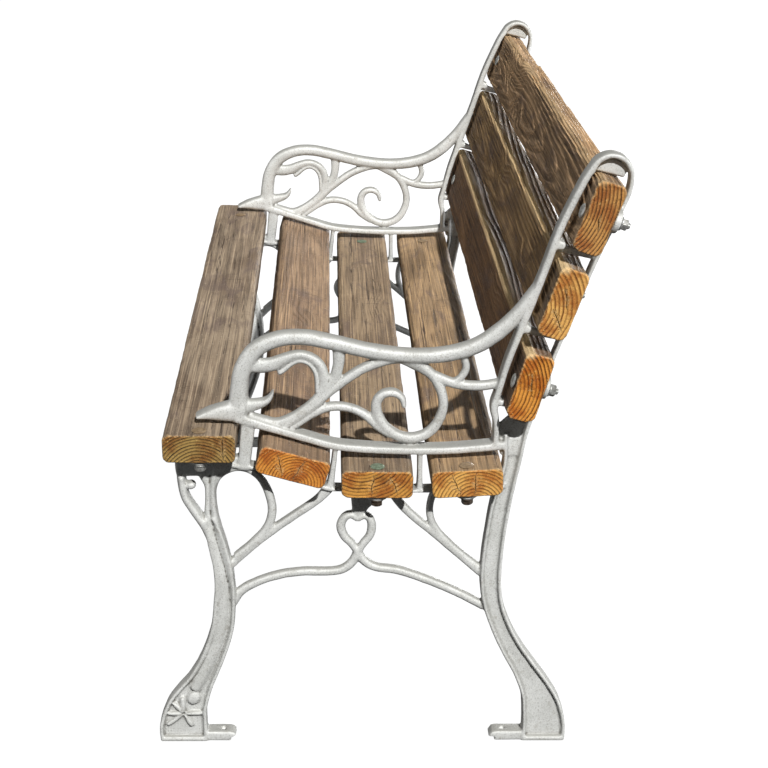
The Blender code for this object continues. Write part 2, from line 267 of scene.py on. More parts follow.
# name, depth along X, section power, [(Y, Z, width)]
BARS = [
    ("arm_rest", 20.5, 2.2, [
        (-164, 488, 26), (-162, 523, 23), (-157, 548, 22), (-142, 572, 21),
        (-116, 586, 20), (-85, 589, 19.5), (-50, 583, 19.5), (0, 571.5, 19.5),
        (50, 566, 19.5), (92, 569, 20), (127, 580, 20), (155, 600, 20),
        (177, 625, 17), (196, 657, 11)]),
    ("beak", 21.5, 2.6, [
        (-214, 484, 6), (-200, 487.5, 15), (-180, 490, 25), (-155, 492, 32)]),
    ("claw", 15.0, 2.0, [
        (-160, 496, 20), (-143, 499.5, 16), (-130, 504, 11), (-124, 510, 7), (-121, 517, 3)]),
    ("leaf_scroll", 13.0, 2.2, [
        (-158, 552, 14), (-139, 551, 19), (-121, 553.5, 18), (-105, 561.5, 14),
        (-88, 566.3, 11.5), (-71.5, 561, 11.5), (-60.5, 547.5, 12), (-58.5, 529, 12),
        (-64.5, 511, 12), (-79, 495, 12.5), (-98, 482, 12), (-116, 475.5, 11),
        (-132, 479, 10), (-150, 485, 9)]),
    ("leaf_tip", 12.0, 2.0, [
        (-112.5, 542.5, 6.8), (-107, 546.5, 7.5), (-98, 554.5, 7), (-88, 558.8, 7),
        (-77, 555, 7), (-69.5, 544.5, 6.5), (-67, 530, 6), (-67.5, 517, 4)]),
    ("arm_branch", 12.0, 2.0, [
        (-41, 578, 17), (-40.5, 558, 14.5), (-43.5, 541, 13.5), (-52, 524, 12), (-66, 508, 9)]),
    ("main_scroll", 14.0, 2.2, [
        (-108, 471, 10), (-88, 485, 11), (-68, 501, 11), (-45, 523, 12),
        (-15, 546, 13), (12, 558, 12.5), (38, 562, 12.5), (62, 552, 13),
        (80, 533, 13), (89, 510, 12.5), (88, 488, 12.5), (77, 467, 13.5),
        (58, 456, 14), (38, 457, 14), (20, 468, 14), (9, 485, 14),
        (7, 503, 13), (15, 515, 12), (28, 517, 11), (38, 510, 9), (41, 499, 6)]),
    ("lower_branch", 12.5, 2.0, [
        (-116, 463, 6), (-94, 471.5, 9), (-73, 486.5, 11), (-51, 497, 12.5), (-28, 496, 12),
        (-8, 487, 12), (8, 472, 12), (26, 459, 10)]),
    ("rear_branch", 12.0, 2.2, [
        (32, 562, 8), (55, 552, 11), (78, 540, 12), (105, 529, 13),
        (135, 527, 13), (162, 532, 12)]),
    ("small_loop", 10.5, 2.0, [
        (111, 570, 9), (116, 551, 10), (110, 538, 9), (97, 531, 6)]),
    ("seat_rail", 22.0, 4.0, [
        (-166, 484, 14), (-145, 477, 13), (-110, 466, 11), (-75, 455, 11),
        (-42, 446, 11), (0, 442, 11), (45, 440.5, 11), (90, 441, 11),
        (130, 444, 11), (172, 449, 12)]),
    ("divider_1", 19.0, 6.0, [(-151, 482, 18), (-154.5, 448, 17), (-158, 412, 15)]),
    ("divider_2", 18.0, 5.0, [(-42.5, 448, 6), (-46, 415, 7), (-50, 384, 10)]),
    ("divider_3", 18.5, 5.0, [(62.5, 443, 7), (63.5, 410, 6.5), (64, 383, 8)]),
    ("front_gusset", 14.0, 5.0, [
        (-241, 417, 33), (-210, 418, 32), (-188, 419, 28), (-166, 421, 18)]),
    ("lower_rail", 20.0, 5.0, [
        (-174, 418.5, 6), (-150, 416, 6), (-128, 412, 6), (-100, 406.5, 6),
        (-75, 398.5, 6), (-54, 387, 6), (-36, 385.2, 5), (10, 384.5, 5),
        (65, 384, 5), (95, 385.5, 5), (135, 387.5, 5), (172, 391, 6)]),
    ("strand_outer", 14.5, 2.4, [
        (-236, 412, 12), (-236.5, 400, 12), (-235, 384, 12), (-230.5, 368, 12.5),
        (-219.5, 349, 12.5), (-208.5, 330, 13), (-201, 312, 13)]),
    ("strand_middle", 15.0, 2.4, [
        (-208, 414, 20), (-207.5, 402, 15), (-205, 389, 7), (-204.5, 376, 6),
        (-205, 362, 6), (-205, 350, 8), (-202.5, 330, 10), (-198.5, 310, 10)]),
    ("strand_inner", 19.0, 2.2, [
        (-191, 416, 13), (-195, 402, 10), (-197.5, 385, 8.5), (-197.5, 366, 9),
        (-195.5, 345, 9.5), (-191.5, 325, 10.5), (-187.8, 305, 11), (-182.8, 286, 10.5),
        (-179.2, 268, 9.4), (-175.4, 240, 7.2), (-174.8, 222, 6)]),
    ("front_ridge", 21.5, 2.2, [
        (-236.5, 402, 9), (-235, 384, 11), (-230.5, 368, 12), (-219.5, 349, 12.5),
        (-208.5, 330, 13), (-201, 312, 13.5), (-196.3, 294, 14), (-191.8, 268, 15),
        (-188.8, 240, 18.5), (-189.3, 215, 20.5), (-192.3, 180, 20.5), (-200, 148, 20),
        (-211, 119, 19.5), (-222, 95, 19), (-228, 84, 18)]),
    ("teardrop", 13.5, 2.2, [
        (-196.5, 358, 7), (-196, 382, 7), (-190, 399, 7.5), (-178, 409, 8), (-163, 412.5, 8),
        (-148, 407.5, 8.5), (-135, 394, 9.5), (-126, 373, 11), (-123, 350, 11.5),
        (-129, 328, 11.5), (-145, 307, 11.5), (-170, 284, 11)]),
    ("front_brace", 12.5, 3.0, [
        (-48, 389, 15), (-64, 369, 11), (-88, 350, 10.5), (-118, 327, 11),
        (-146, 303, 11), (-175.5, 274.5, 12)]),
    ("stretcher_front", 12.0, 2.2, [
        (-174.5, 215.5, 12), (-164, 233, 13), (-142, 247, 12), (-115, 257, 12),
        (-85, 262, 12), (-50, 262.5, 12), (-32, 266, 12), (-19.5, 277, 12), (-13.5, 291, 11)]),
    ("stretcher_rear", 12.0, 2.2, [
        (-12, 291, 11), (-4, 278, 12), (12, 269, 12), (38, 265, 12),
        (62, 257, 12), (95, 243, 12), (125, 228, 12), (153, 211.5, 12)]),
    ("heart_left", 12.3, 2.2, [
        (-11.5, 284, 11), (-15, 294, 10), (-21, 304, 10.5), (-31, 315.5, 11.5),
        (-35.2, 329, 12), (-31.5, 341, 11), (-23, 346.5, 10), (-13, 340, 9)]),
    ("heart_right", 12.3, 2.2, [
        (-14.5, 284, 11), (-11, 294, 10), (-6, 304, 10.5), (2, 315.5, 11),
        (4.6, 329, 11.5), (1.5, 341, 10.5), (-5.5, 345.5, 9.5), (-14.5, 340, 9)]),
    ("stem", 10.0, 3.0, [
        (-13.5, 340, 12), (-12.5, 350, 17), (-10, 362, 26), (-6.5, 373, 40), (-6, 387, 56)]),
    ("rear_brace", 12.2, 3.0, [
        (28, 383, 13), (40, 363, 11), (60, 342, 10.5), (84, 321, 10.5),
        (110, 297, 10.5), (130, 279, 11), (148, 262.8, 12)]),
    ("rear_curl", 11.2, 2.2, [
        (86, 387, 10), (79, 366, 9.5), (79, 345, 9.5), (87, 326, 10),
        (103, 307, 10), (125, 286, 10), (146, 269, 10)]),
    ("back_front_strip", 22.0, 4.0, [
        (157, 450, 8), (156.5, 478, 8), (152.5, 500, 10), (157, 522, 8.5),
        (166, 560, 8.5), (176.5, 594, 9), (192, 642, 10), (205, 684, 9.5),
        (217, 726, 9), (230, 760, 9), (244, 792, 8.5), (252, 806, 8)]),
    ("back_top_loop", 22.0, 3.5, [
        (249, 800, 8.5), (257.5, 814, 8), (272, 820.5, 7.5), (287, 816, 7),
        (296.5, 803, 6.5), (298, 788, 6), (295, 772, 5.5)]),
    ("back_rear_strip", 21.0, 5.0, [
        (297, 779, 5.5), (290, 758, 5), (266, 699, 5), (243, 632, 5),
        (222, 568, 5), (209, 521, 5), (195.5, 470, 5.6), (191, 444, 5)]),
    ("back_web_top", 6.0, 6.0, [(256, 808, 14), (274, 806, 18), (292, 799, 14)]),
    ("back_web_upper", 8.0, 4.0, [(213, 710, 13), (238, 702, 9), (265, 697, 10)]),
    ("back_web_lower", 8.0, 4.0, [(179, 606, 13), (203, 598, 9), (233, 593, 10)]),
    ("back_web_base", 8.0, 5.0, [(171, 446, 34), (176, 466, 36), (183, 482, 24)]),
    ("rear_leg_head", 12.0, 4.0, [(178, 434, 28), (177, 458, 36)]),
]

# Bars whose first or last end is rounded, and how long the rounding is,
# in half widths.
ROUNDED_ENDS = {
    "beak": (0.9, 0), "claw": (0, 0.8), "leaf_tip": (0.9, 0), "main_scroll": (0, 0.9),
    "front_gusset": (0.2, 0), "front_ridge": (0, 0.4), "front_brace": (0, 0.9),
    "stretcher_front": (0.9, 0), "stretcher_rear": (0, 0.9), "rear_brace": (0, 0.9),
    "rear_curl": (0, 0.9),
}

# The two leg outlines: (Y, Z, width). Each gets a web, raised edges and a toe.
FRONT_LEG = [
    (-244.5, 3, 64), (-244.5, 24, 64), (-240, 50, 56), (-232, 70, 47),
    (-220, 94, 36), (-208, 120, 32), (-197.5, 148, 30.5), (-189, 180, 30),
    (-186, 212, 28.8), (-184.9, 240, 27), (-187, 270, 25), (-193, 302, 24),
    (-198.5, 326, 21), (-203, 341, 17)]
REAR_LEG = [
    (246.5, 3, 60), (246, 25, 59), (241, 55, 53), (231, 84, 42),
    (214, 116, 33), (195, 148, 29), (179.5, 180, 27), (167, 215, 27),
    (161.5, 250, 28), (161.5, 288, 28), (164.5, 330, 27), (169, 368, 26.5),
    (174.5, 396, 23.5), (179, 422, 23), (180.5, 444, 26.5), (181.5, 462, 30)]
LEG_EDGE = 5.4
WEB_BACKSETS = (5.8, 6.2)
TOES = [(-214.0, -178.0), (218.0, 177.0)]
TOE_HEIGHT = 15.5
TOE_HOLE = 3.5
TOE_HOLE_OFFSET = 13.0
EAR_HOLE = 4.5
NUBS = [(219.0, 710.0, 12.0), (185.0, 603.5, 12.0), (163.5, 505.0, 9.0)]

# Fan of leaves and an oval leaf in relief on the front foot.
FAN_CENTRE = (-243.5, 44.5)
FAN_LEAVES = [(-262, 44.5), (-255, 59), (-245, 67), (-264, 28), (-234, 27), (-223, 45)]
OVAL_LEAF = (-229.5, 69.5)
KNOB = (-225.0, 389.5)

EAR_HALF = 15.0
EAR_START = -14.0
EAR_END = 25.0
VOXEL = 1.35
CASTING_FACES = 190000
SKIN_BROAD, SKIN_BROAD_MM = 85.0, 0.28     # waves per metre and height, mm
SKIN_FINE, SKIN_FINE_MM = 240.0, 0.10
HOLE_SIDES = 24
SLAT_HOLE = 4.6


def casting_mesh(quick):
    bulk = Bulk()
    for name, depth, power, points in BARS:
        bulk.bar(smooth_path(points), depth, MIDDLE, power, ROUNDED_ENDS.get(name, (0.0, 0.0)))
    for points, backset in zip((FRONT_LEG, REAR_LEG), WEB_BACKSETS):
        path = smooth_path(points)
        web = path.copy()
        web[:, 2] -= 3.0
        bulk.bar(web, FRAME_DEPTH - 2 * backset, MIDDLE, 9.0, sides=28)
        for side in (1, -1):
            bulk.bar(offset_path(path, side, LEG_EDGE), FRAME_DEPTH, MIDDLE, 3.2, (0.0, 1.4))
        y, z, w = points[0]
        base = [(y - w / 2 + 1, 4.0, 8.0), (y + w / 2 - 1, 4.0, 8.0)]
        bulk.bar(smooth_path(base), FRAME_DEPTH, MIDDLE, 7.0)
    for start, end in TOES:
        way = math.copysign(4.0, end - start)
        lug = [(start, TOE_HEIGHT / 2, TOE_HEIGHT), (end - way, TOE_HEIGHT / 2, TOE_HEIGHT),
               (end, TOE_HEIGHT / 2 - 0.8, TOE_HEIGHT - 3.0)]
        bulk.bar(smooth_path(lug), 20.5, MIDDLE - 0.5, 6.0)
    for y, z, size in NUBS:
        nub = [(y - 4, z + 2, size), (y + 3, z + 1, size), (y + 6.5, z, size * 0.6)]
        bulk.bar(smooth_path(nub), 20.0, MIDDLE, 5.0)
    cy, cz = FAN_CENTRE
    for y, z in FAN_LEAVES:
        reach = math.hypot(y - cy, z - cz)
        dy, dz = (y - cy) / reach, (z - cz) / reach
        leaf = [(cy + dy * 3, cz + dz * 3, 3.0),
                (cy + dy * reach * 0.6, cz + dz * reach * 0.6, 7.0),
                (cy + dy * (reach + 1), cz + dz * (reach + 1), 6.2)]
        bulk.bar(smooth_path(leaf, 2.0), 9.0, -5.2, 2.2, (0.5, 0.9), sides=12)
    bulk.blob((-3.6, *OVAL_LEAF), (4.0, 8.6, 11.0), -20.0)
    bulk.blob((-8.0, *KNOB), (7.5, 7.2, 6.2), 15.0)
    for name, y, z, lean, ear in SLATS:
        outer = -SLAT_THICKNESS / 2 - GAP
        outline = [(EAR_START, -EAR_HALF), (EAR_END - EAR_HALF, -EAR_HALF)]
        for k in range(1, 10):
            a = -math.pi / 2 + math.pi * k / 10
            outline.append((EAR_END - EAR_HALF + EAR_HALF * math.cos(a), EAR_HALF * math.sin(a)))
        outline += [(EAR_END - EAR_HALF, EAR_HALF), (EAR_START, EAR_HALF)]
        rings = []
        for out, shrink in ((outer, 0.7), (outer - 0.8, 0.0), (outer - ear + 1.2, 0.0),
                            (outer - ear, 1.2)):
            ring = []
            for x, across in outline:
                across *= (EAR_HALF - shrink) / EAR_HALF
                reach = x if x < 0 else x - shrink
                ring.append(on_slat(y, z, lean, on_side(name, reach), across, out))
            rings.append(ring)
        bulk.rings(rings)
    solid = link(bulk.mesh("casting_parts"), "casting_parts")
    melt = solid.modifiers.new("Melt", "REMESH")
    melt.mode = "VOXEL"
    melt.voxel_size = (2.4 if quick else VOXEL) * MM
    melt.adaptivity = 0.0
    ease = solid.modifiers.new("Ease", "SMOOTH")
    ease.factor = 0.5
    ease.iterations = 3 if quick else 6
    holes = link(holes_mesh(), "cut_holes")
    subtract(solid, holes)
    mesh = evaluated(solid, "casting")
    count = len(mesh.polygons) * 2
    if count > CASTING_FACES:
        thin = link(mesh, "thin")
        reduce = thin.modifiers.new("Thin", "DECIMATE")
        reduce.ratio = CASTING_FACES / count
        mesh = evaluated(thin, "casting")
    bpy.data.objects.remove(holes, do_unlink=True)
    settle(mesh)
    return mesh


def holes_mesh():
    """Bolt holes in the ears and the screw hole in each toe."""
    cutter = Bulk()
    for name, y, z, lean, ear in SLATS:
        bolt_x = on_side(name, BOLT_OFFSET)
        rim = circle(EAR_HOLE, HOLE_SIDES)
        cutter.rings([[on_slat(y, z, lean, bolt_x + a, b, out) for a, b in rim]
                      for out in (-SLAT_THICKNESS / 2 + 2, -SLAT_THICKNESS / 2 - ear - 5)])
    for start, end in TOES:
        y = end + math.copysign(TOE_HOLE_OFFSET, start - end)
        cutter.rings([[(MIDDLE + a, y + b, z) for a, b in circle(TOE_HOLE, HOLE_SIDES)]
                      for z in (-5.0, TOE_HEIGHT + 6.0)])
    return cutter.mesh("cut_holes")


def settle(mesh):
    """Sand-cast unevenness all over, and feet that stay flat on the floor."""
    count = len(mesh.vertices)
    co = np.empty(count * 3)
    mesh.vertices.foreach_get("co", co)
    co = co.reshape(-1, 3)
    no = np.empty(count * 3)
    mesh.vertices.foreach_get("normal", no)
    no = no.reshape(-1, 3)
    wave = np.array([noise.noise(Vector(p) * SKIN_BROAD) * SKIN_BROAD_MM
                     + noise.noise(Vector(p) * SKIN_FINE) * SKIN_FINE_MM for p in co]) * MM
    co += no * wave[:, None]
    co[:, 2] = np.maximum(co[:, 2], 0.0)
    mesh.vertices.foreach_set("co", co.ravel())
    mesh.update()


# ---- materials

class Graph:
    """Short names for building a node material."""

    def __init__(self, name):
        self.material = bpy.data.materials.new(name)
        self.material.use_nodes = True
        self.tree = self.material.node_tree
        self.shader = self.tree.nodes["Principled BSDF"]

    def node(self, kind, inputs=None, **props):
        made = self.tree.nodes.new("ShaderNode" + kind)
        for key, value in props.items():
            setattr(made, key, value)
        for key, value in (inputs or {}).items():
            self.feed(made.inputs[key], value)
        return made

    def feed(self, socket, value):
        if isinstance(value, bpy.types.NodeSocket):
            self.tree.links.new(value, socket)
        else:
            socket.default_value = value

    def math(self, operation, a, b=0.0):
        return self.node("Math", {0: a, 1: b}, operation=operation).outputs[0]

    def times(self, a, b):
        return self.math("MULTIPLY", a, b)

    def noise(self, vector, scale, detail=3.0, rough=0.55, distortion=0.0):
        made = self.node("TexNoise", {"Vector": vector, "Scale": scale, "Detail": detail,
                                      "Roughness": rough, "Distortion": distortion})
        return made.outputs["Fac"]

    def span(self, value, low, high, to_low=0.0, to_high=1.0):
        made = self.node("MapRange", {"Value": value, "From Min": low, "From Max": high,
                                      "To Min": to_low, "To Max": to_high},
                         interpolation_type="SMOOTHSTEP")
        return made.outputs["Result"]

    def mix(self, factor, a, b):
        return self.node("Mix", {0: factor, 6: a, 7: b}, data_type="RGBA").outputs[2]

    def over(self, tone, mask, amount, colour):
        """Lay a colour over tone where mask is 1, at most by amount."""
        return self.mix(self.times(mask, amount), tone, colour)

    def grain(self, vector, scale, offset, *noise_settings):
        """Noise stretched by scale along each axis."""
        made = self.node("Mapping", {"Vector": vector, "Scale": scale, "Location": offset})
        return self.noise(made.outputs["Vector"], 1.0, *noise_settings)

    def surface(self, name, value):
        self.feed(self.shader.inputs[name], value)


def rgb(r, g, b):
    """sRGB 0-255 to a linear colour."""
    line = [c / 255 / 12.92 if c <= 10 else ((c / 255 + 0.055) / 1.055) ** 2.4 for c in (r, g, b)]
    return (*line, 1.0)


def casting_material():
    g = Graph("cast_aluminium_look")
    where = g.node("NewGeometry")
    place = where.outputs["Position"]
    cloud = g.noise(place, 24.0, 3.0, 0.55)
    grain = g.noise(place, 520.0, 4.0, 0.72)
    pits = g.noise(place, 900.0, 2.0, 0.6)
    patch = g.noise(place, 95.0, 5.0, 0.7)
    tone = g.mix(g.span(cloud, 0.35, 0.68), rgb(213, 215, 213), rgb(228, 230, 229))
    tone = g.over(tone, g.span(grain, 0.52, 0.68), 0.66, rgb(150, 149, 144))
    tone = g.over(tone, g.span(grain, 0.47, 0.33), 0.62, rgb(244, 245, 243))
    tone = g.over(tone, g.span(patch, 0.55, 0.70), 0.45, rgb(160, 155, 145))
    tone = g.over(tone, g.span(pits, 0.70, 0.80), 0.55, rgb(104, 98, 88))
    # Painted shade: concave creases and recesses are darkened where shade gathers.
    painted_hollow_shade = g.span(where.outputs["Pointiness"], 0.496, 0.452)
    tone = g.over(tone, painted_hollow_shade, 0.80, rgb(74, 68, 58))
    # Painted highlight: convex crests and edges are lightened.
    painted_crest_highlight = g.span(where.outputs["Pointiness"], 0.53, 0.60)
    tone = g.over(tone, painted_crest_highlight, 0.35, rgb(240, 240, 238))
    g.surface("Metallic", 0.12)
    facing = g.node("SeparateXYZ", {0: where.outputs["Normal"]})
    # Painted shade: faces that do not face along X (the bars' sides, tops and undersides) are
    # darkened.
    painted_side_shade = g.span(g.math("ABSOLUTE", facing.outputs[0]), 0.88, 0.35)
    tone = g.over(tone, painted_side_shade, 0.42, rgb(140, 140, 136))
    # Painted shade: faces turned upward are darkened as well.
    up = g.span(facing.outputs[2], 0.45, 0.85)
    tone = g.over(tone, up, 0.60, rgb(146, 146, 141))
    g.surface("Base Color", tone)
    g.surface("Roughness", g.span(patch, 0.3, 0.7, 0.52, 0.66))
    height = g.math("ADD", g.times(grain, 0.7), g.times(patch, 0.8))
    height = g.math("SUBTRACT", height, g.times(g.span(pits, 0.68, 0.80), 0.4))
    bump = g.node("Bump", {"Height": height, "Strength": 0.45, "Distance": 0.0008})
    g.surface("Normal", bump.outputs["Normal"])
    return g.material


def steel_material(name, light, dark, metal):
    g = Graph(name)
    place = g.node("TexCoord").outputs["Object"]
    patch = g.noise(place, 260.0, 4.0, 0.6)
    fine = g.noise(place, 1400.0, 2.0)
    tone = g.mix(g.span(patch, 0.38, 0.66), rgb(*light), rgb(*dark))
    g.surface("Base Color", tone)
    g.surface("Metallic", metal)
    g.surface("Roughness", g.span(patch, 0.3, 0.7, 0.32, 0.5))
    bump = g.node("Bump", {"Height": fine, "Strength": 0.2, "Distance": 0.0002})
    g.surface("Normal", bump.outputs["Normal"])
    return g.material


def shade(colour, by):
    """A colour made lighter or darker, still as sRGB 0-255."""
    return rgb(*[min(255, c * by) for c in colour])


def wood_material(name, seed, pith, ring, tones, gloss=0.0, raised=0.35, rub=0.5, arris_highlight=0.0):
    """Pine grown in rings about a pith line, weathered on its long faces.

    Local X runs along the grain, pith is the line's (Y, Z) in mm and ring the
    growth per year. The board's growth attribute bends the rings, in metres.
    gloss is the ends' sheen, raised the late wood's height, rub how pale the
    worn arrises are and arris_highlight how strong the painted highlight along the
    upper front edge is.
    """
    end_light, end_dark, face_light, face_dark = tones
    g = Graph(name)
    place = g.node("TexCoord").outputs["Object"]
    x, y, z = g.node("SeparateXYZ", {0: place}).outputs
    surface = g.node("NewGeometry")
    normal = g.node("SeparateXYZ", {0: g.node("TexCoord").outputs["Normal"]})
    is_end = g.span(g.math("ABSOLUTE", normal.outputs[0]), 0.45, 0.75)
    growth = g.node("Attribute", attribute_name="growth").outputs["Vector"]
    growth = g.node("SeparateXYZ", {0: growth})
    side = g.math("ADD", g.math("SUBTRACT", y, pith[0] * MM), growth.outputs[1])
    deep = g.math("ADD", g.math("SUBTRACT", z, pith[1] * MM), growth.outputs[2])
    reach = g.math("SQRT", g.math("ADD", g.times(side, side), g.times(deep, deep)))
    reach = g.math("ADD", reach, growth.outputs[0])
    wiggle = g.grain(place, (9.0, 90.0, 90.0), (seed, 0, seed), 2.0)
    years = g.math("DIVIDE", reach, ring * MM)
    years = g.math("ADD", years, g.times(wiggle, 0.30))
    part = g.math("FRACT", years)
    late = g.times(g.span(part, 0.34, 0.84), g.span(part, 1.0, 0.90))
    order = g.node("CombineXYZ", {0: g.times(g.math("FLOOR", years), 3.7), 1: seed})
    strength = g.span(g.noise(order.outputs[0], 1.0, 1.0), 0.3, 0.65, 0.55, 1.0)
    late = g.times(late, strength)
    fibre = g.grain(place, (5.0, 480.0, 480.0), (0, 0, 0), 3.0, 0.6)
    streak = g.grain(place, (2.0, 170.0, 170.0), (seed, 0, 0), 3.0, 0.6)
    blotch = g.grain(place, (7.0, 20.0, 20.0), (seed, seed, seed), 5.0, 0.62, 0.6)
    stain = g.grain(place, (11.0, 30.0, 30.0), (seed * 2.0, 0, 0), 4.0, 0.6, 0.8)
    split_line = g.grain(place, (3.0, 75.0, 75.0), (0, seed, seed), 3.0, 0.6)
    checks = g.span(g.math("ABSOLUTE", g.math("SUBTRACT", split_line, 0.5)), 0.020, 0.004)
    checks = g.times(checks, g.span(streak, 0.48, 0.64))
    across = g.grain(place, (300.0, 22.0, 40.0), (seed, 0, 0), 3.0, 0.7, 1.0)
    scratch = g.grain(place, (240.0, 30.0, 30.0), (0, seed, 9.0), 4.0, 0.75, 2.0)
    fleck = g.noise(place, 330.0, 4.0, 0.75)
    grit = g.noise(place, 700.0, 4.0, 0.7)
    # End grain: honey brown, dark late wood, rays, worn golden fibres and grime.
    amber = rgb(end_light[0] * 0.80, end_light[1] * 0.66, end_light[2] * 0.52)
    warm = g.mix(g.span(g.noise(place, 34.0, 3.0, 0.6), 0.38, 0.62), rgb(*end_light), amber)
    warm = g.mix(late, warm, rgb(*end_dark))
    warm = g.over(warm, g.span(grit, 0.54, 0.74), 0.45, shade(end_light, 1.28))
    warm = g.over(warm, g.span(grit, 0.46, 0.28), 0.50, shade(end_dark, 0.62))
    warm = g.over(warm, g.span(fleck, 0.60, 0.70), 0.80, rgb(240, 200, 126))
    warm = g.over(warm, g.span(stain, 0.58, 0.74), 0.45, shade(end_dark, 0.70))
    # Long faces: sun-greyed, streaked along the grain, checked and scratched.
    cool = g.mix(g.span(blotch, 0.34, 0.66), rgb(*face_light), rgb(*face_dark))
    cool = g.over(cool, late, 0.40, shade(face_dark, 0.70))
    cool = g.over(cool, g.span(streak, 0.50, 0.74), 0.26, shade(face_dark, 0.72))
    cool = g.over(cool, g.span(streak, 0.46, 0.30), 0.45, shade(face_light, 1.16))
    cool = g.over(cool, g.span(fibre, 0.51, 0.67), 0.66, shade(face_dark, 0.60))
    cool = g.over(cool, g.span(fibre, 0.46, 0.32), 0.66, shade(face_light, 1.25))
    cool = g.over(cool, g.span(stain, 0.52, 0.68), 0.50, rgb(104, 88, 84))
    near_end = g.span(g.math("ABSOLUTE", x), 0.44, 0.495)
    cool = g.over(cool, near_end, 0.40, shade(face_dark, 0.85))
    cool = g.over(cool, checks, 0.85, rgb(60, 46, 37))
    cool = g.over(cool, g.span(across, 0.62, 0.70), 0.60, rgb(66, 50, 40))
    cool = g.over(cool, g.span(scratch, 0.67, 0.74), 0.80, rgb(220, 208, 188))
    cool = g.over(cool, g.span(fleck, 0.60, 0.69), 0.60, rgb(214, 202, 180))
    tone = g.mix(is_end, cool, warm)
    # Arrises are rubbed back to pale wood, in patches.
    worn = g.times(g.span(surface.outputs["Pointiness"], 0.515, 0.56), g.span(fleck, 0.44, 0.60))
    tone = g.over(tone, worn, rub, rgb(226, 190, 134))
    # Painted highlight: a pale line along the upper front edge, standing for a sunlit strip of the
    # top face.
    if arris_highlight:
        line = g.times(g.span(y, 0.034, 0.041), g.span(z, 0.004, 0.012))
        line = g.times(line, g.span(grit, 0.34, 0.50))
        tone = g.over(tone, line, arris_highlight, rgb(236, 206, 156))
    g.surface("Base Color", tone)
    sheen = g.times(is_end, gloss)
    g.surface("Roughness", g.math("SUBTRACT", g.span(blotch, 0.3, 0.7, 0.86, 0.70), sheen))
    relief = g.math("ADD", g.times(late, raised), g.times(fibre, 0.6))
    relief = g.math("SUBTRACT", relief, g.times(g.span(across, 0.66, 0.74), 0.5))
    relief = g.math("SUBTRACT", relief, g.times(checks, 1.2))
    relief = g.math("SUBTRACT", relief, g.times(g.span(streak, 0.54, 0.72), 0.5))
    bump = g.node("Bump", {"Height": relief, "Strength": 0.6, "Distance": 0.0009})
    g.surface("Normal", bump.outputs["Normal"])
    return g.material


# ---- slats

# Each board: its pith (Y, Z) and ring width in mm, its other looks and its
# shape. Tones are light and dark for the ends, then for the long faces. The
# shape is the pith's slope per mm, the depth of the eroded grain in mm, knots
# (x, y, radius) and end cracks (distance across, lean in degrees).
BOARDS = {
    "seat_slat_1_front": (
        (2, -46), 3.9,
        dict(tones=((174, 142, 80), (24, 17, 6), (166, 148, 126), (128, 110, 92))),
        dict(slope=(0.004, 0.010), relief=0.45, knots=(), cracks=((30, 0.0),))),
    "seat_slat_2": (
        (10, -30), 3.8,
        dict(tones=((228, 152, 62), (128, 66, 16), (167, 140, 112), (130, 106, 84))),
        dict(slope=(-0.006, 0.024), relief=0.35, knots=((60, -4, 9),),
             cracks=((8, 14.0), (-16, -26.0)))),
    "seat_slat_3": (
        (-24, 46), 4.6,
        dict(tones=((220, 158, 72), (78, 40, 10), (165, 143, 116), (130, 110, 89))),
        dict(slope=(0.010, 0.012), relief=0.40, knots=((-90, 16, 8), (240, -20, 6)),
             cracks=((-6, 4.0), (20, -18.0)))),
    "seat_slat_4_rear": (
        (12, -34), 4.4,
        dict(tones=((240, 182, 96), (100, 56, 16), (179, 149, 113), (142, 117, 88))),
        dict(slope=(-0.004, 0.014), relief=0.30, knots=((160, -8, 7),),
             cracks=((10, 6.0), (-14, -20.0)))),
    "back_slat_bottom": (
        (-18, 40), 4.6,
        dict(tones=((236, 160, 68), (92, 44, 10), (138, 107, 76), (100, 73, 50)),
             gloss=0.25, raised=1.2, rub=0.85, arris_highlight=0.85),
        dict(slope=(0.010, 0.020), relief=0.90, knots=((200, 12, 9),), cracks=((4, 70.0),))),
    "back_slat_middle": (
        (-10, 46), 5.2,
        dict(tones=((238, 182, 100), (120, 66, 20), (168, 137, 96), (126, 99, 68)),
             raised=1.6, rub=0.85, arris_highlight=0.85),
        dict(slope=(-0.010, 0.026), relief=1.30, knots=((-40, 18, 9), (300, -10, 7)),
             cracks=((8, 62.0), (-20, 50.0)))),
    "back_slat_top": (
        (-8, 60), 4.3,
        dict(tones=((206, 150, 82), (62, 32, 12), (206, 170, 130), (154, 126, 96)),
             raised=1.8, rub=0.7, arris_highlight=0.3),
        dict(slope=(0.020, 0.034), relief=1.70, knots=((-235, 26, 15), (-120, -18, 9)),
             cracks=((0, 82.0),), chip=(-219.0, 4.0))),
}


def smoothstep(value, low, high):
    t = np.clip((value - low) / (high - low), 0.0, 1.0)
    return t * t * (3.0 - 2.0 * t)


def noise_at(x, y, z, offset):
    """Smooth noise at arrays of places."""
    places = zip(x.tolist(), y.tolist(), z.tolist())
    return np.array([noise.noise(Vector(p) + offset) for p in places])


